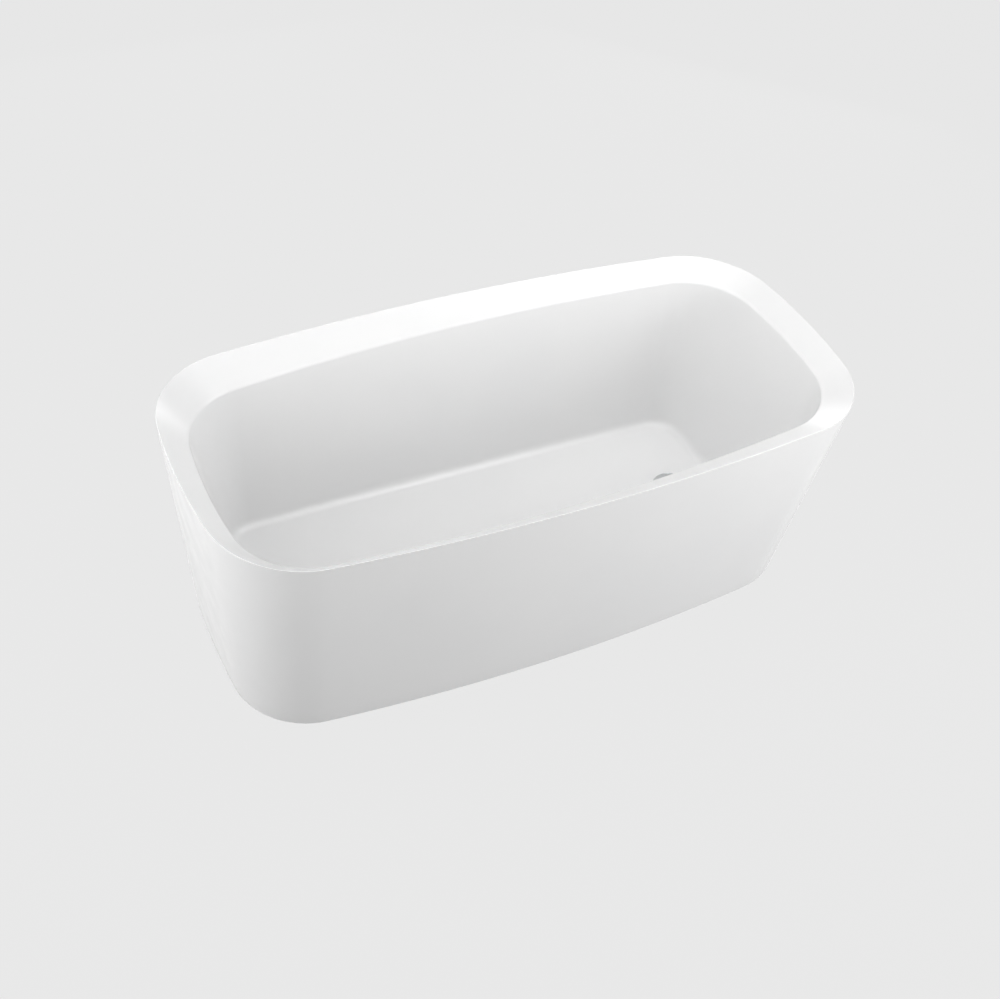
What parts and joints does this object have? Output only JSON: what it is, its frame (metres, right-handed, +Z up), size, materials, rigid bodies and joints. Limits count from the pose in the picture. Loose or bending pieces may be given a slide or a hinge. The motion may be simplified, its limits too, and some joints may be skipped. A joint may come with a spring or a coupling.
{
  "type": "freestanding bathtub",
  "caption": "Freestanding double-wall bathtub with a tapered rounded-rectangle skirt, an inward-sloping rim, a raised waste cover, a low trap and levelling feet.",
  "frame": {"origin": "centre of the box's underside, where the feet stand on the floor", "axes": "+X along the tub towards the waste end, +Y across it, +Z up"},
  "size_m": [1.5994, 0.7724, 0.5841],
  "materials": {
    "acrylic": "satin white sanitary acrylic",
    "glass_fibre": "rolled glass-fibre laminate",
    "board": "resin-sealed chipboard",
    "frame_paint": "black powder coat",
    "zinc_steel": "zinc plated",
    "black_plastic": "moulded black nylon",
    "chrome": "polished chrome",
    "brass": "turned brass",
    "rubber": "matt black rubber",
    "trap_plastic": "moulded white polypropylene"
  },
  "bodies": {
    "root": {"basin_shell": "acrylic", "basin_glass_fibre": "glass_fibre", "outer_skirt": "acrylic", "skirt_glass_fibre": "glass_fibre", "base_board": "board", "frame_rail_left": "frame_paint", "frame_rail_right": "frame_paint", "cross_tube_1": "frame_paint", "cross_tube_2": "frame_paint", "cross_tube_3": "frame_paint", "cross_tube_4": "frame_paint", "rail_end_caps": "black_plastic", "skirt_bracket_1": "zinc_steel", "skirt_bracket_2": "zinc_steel", "skirt_bracket_3": "zinc_steel", "skirt_bracket_4": "zinc_steel", "skirt_bracket_5": "zinc_steel", "skirt_bracket_6": "zinc_steel", "bracket_screws": "zinc_steel", "board_screws": "zinc_steel", "foot_weld_nuts": "zinc_steel", "foot_lock_nuts": "zinc_steel", "waste_flange": "chrome", "flange_seal": "rubber", "tail_seal": "rubber", "waste_back_nut": "black_plastic", "click_cartridge": "brass", "trap_body": "trap_plastic", "trap_union_nut": "trap_plastic", "trap_seal": "rubber", "outlet_nut": "trap_plastic", "outlet_seal": "rubber"},
    "foot_1": {"foot_pad_1": "black_plastic"},
    "stud_1": {"foot_stud_1": "zinc_steel"},
    "foot_2": {"foot_pad_2": "black_plastic"},
    "stud_2": {"foot_stud_2": "zinc_steel"},
    "foot_3": {"foot_pad_3": "black_plastic"},
    "stud_3": {"foot_stud_3": "zinc_steel"},
    "foot_4": {"foot_pad_4": "black_plastic"},
    "stud_4": {"foot_stud_4": "zinc_steel"},
    "plug": {"plug_cover": "chrome", "plug_seal": "rubber", "plug_stem": "brass"}
  },
  "joints": [
    {"name": "foot_1_height", "type": "slide", "parent": "root", "child": "foot_1", "axis": [0, 0, 1], "range_m": [-0.015, 0.004]},
    {"name": "stud_1_turn", "type": "hinge", "parent": "foot_1", "child": "stud_1", "pos_m": [-0.545, 0.17, 0.03], "axis": [0, 0, 1], "range_deg": [-3090, 826]},
    {"name": "foot_2_height", "type": "slide", "parent": "root", "child": "foot_2", "axis": [0, 0, 1], "range_m": [-0.015, 0.004]},
    {"name": "stud_2_turn", "type": "hinge", "parent": "foot_2", "child": "stud_2", "pos_m": [-0.545, -0.17, 0.03], "axis": [0, 0, 1], "range_deg": [-3090, 826]},
    {"name": "foot_3_height", "type": "slide", "parent": "root", "child": "foot_3", "axis": [0, 0, 1], "range_m": [-0.015, 0.004]},
    {"name": "stud_3_turn", "type": "hinge", "parent": "foot_3", "child": "stud_3", "pos_m": [0.545, 0.17, 0.03], "axis": [0, 0, 1], "range_deg": [-3090, 826]},
    {"name": "foot_4_height", "type": "slide", "parent": "root", "child": "foot_4", "axis": [0, 0, 1], "range_m": [-0.015, 0.004]},
    {"name": "stud_4_turn", "type": "hinge", "parent": "foot_4", "child": "stud_4", "pos_m": [0.545, -0.17, 0.03], "axis": [0, 0, 1], "range_deg": [-3090, 826]},
    {"name": "plug_press", "type": "slide", "parent": "root", "child": "plug", "axis": [0, 0, -1], "range_m": [0, 0.006]}
  ],
  "couplings": [
    {"joint": "stud_1_turn", "follows": "foot_1_height", "rad_per_m": 3590.4},
    {"joint": "stud_2_turn", "follows": "foot_2_height", "rad_per_m": 3590.4},
    {"joint": "stud_3_turn", "follows": "foot_3_height", "rad_per_m": 3590.4},
    {"joint": "stud_4_turn", "follows": "foot_4_height", "rad_per_m": 3590.4}
  ]
}
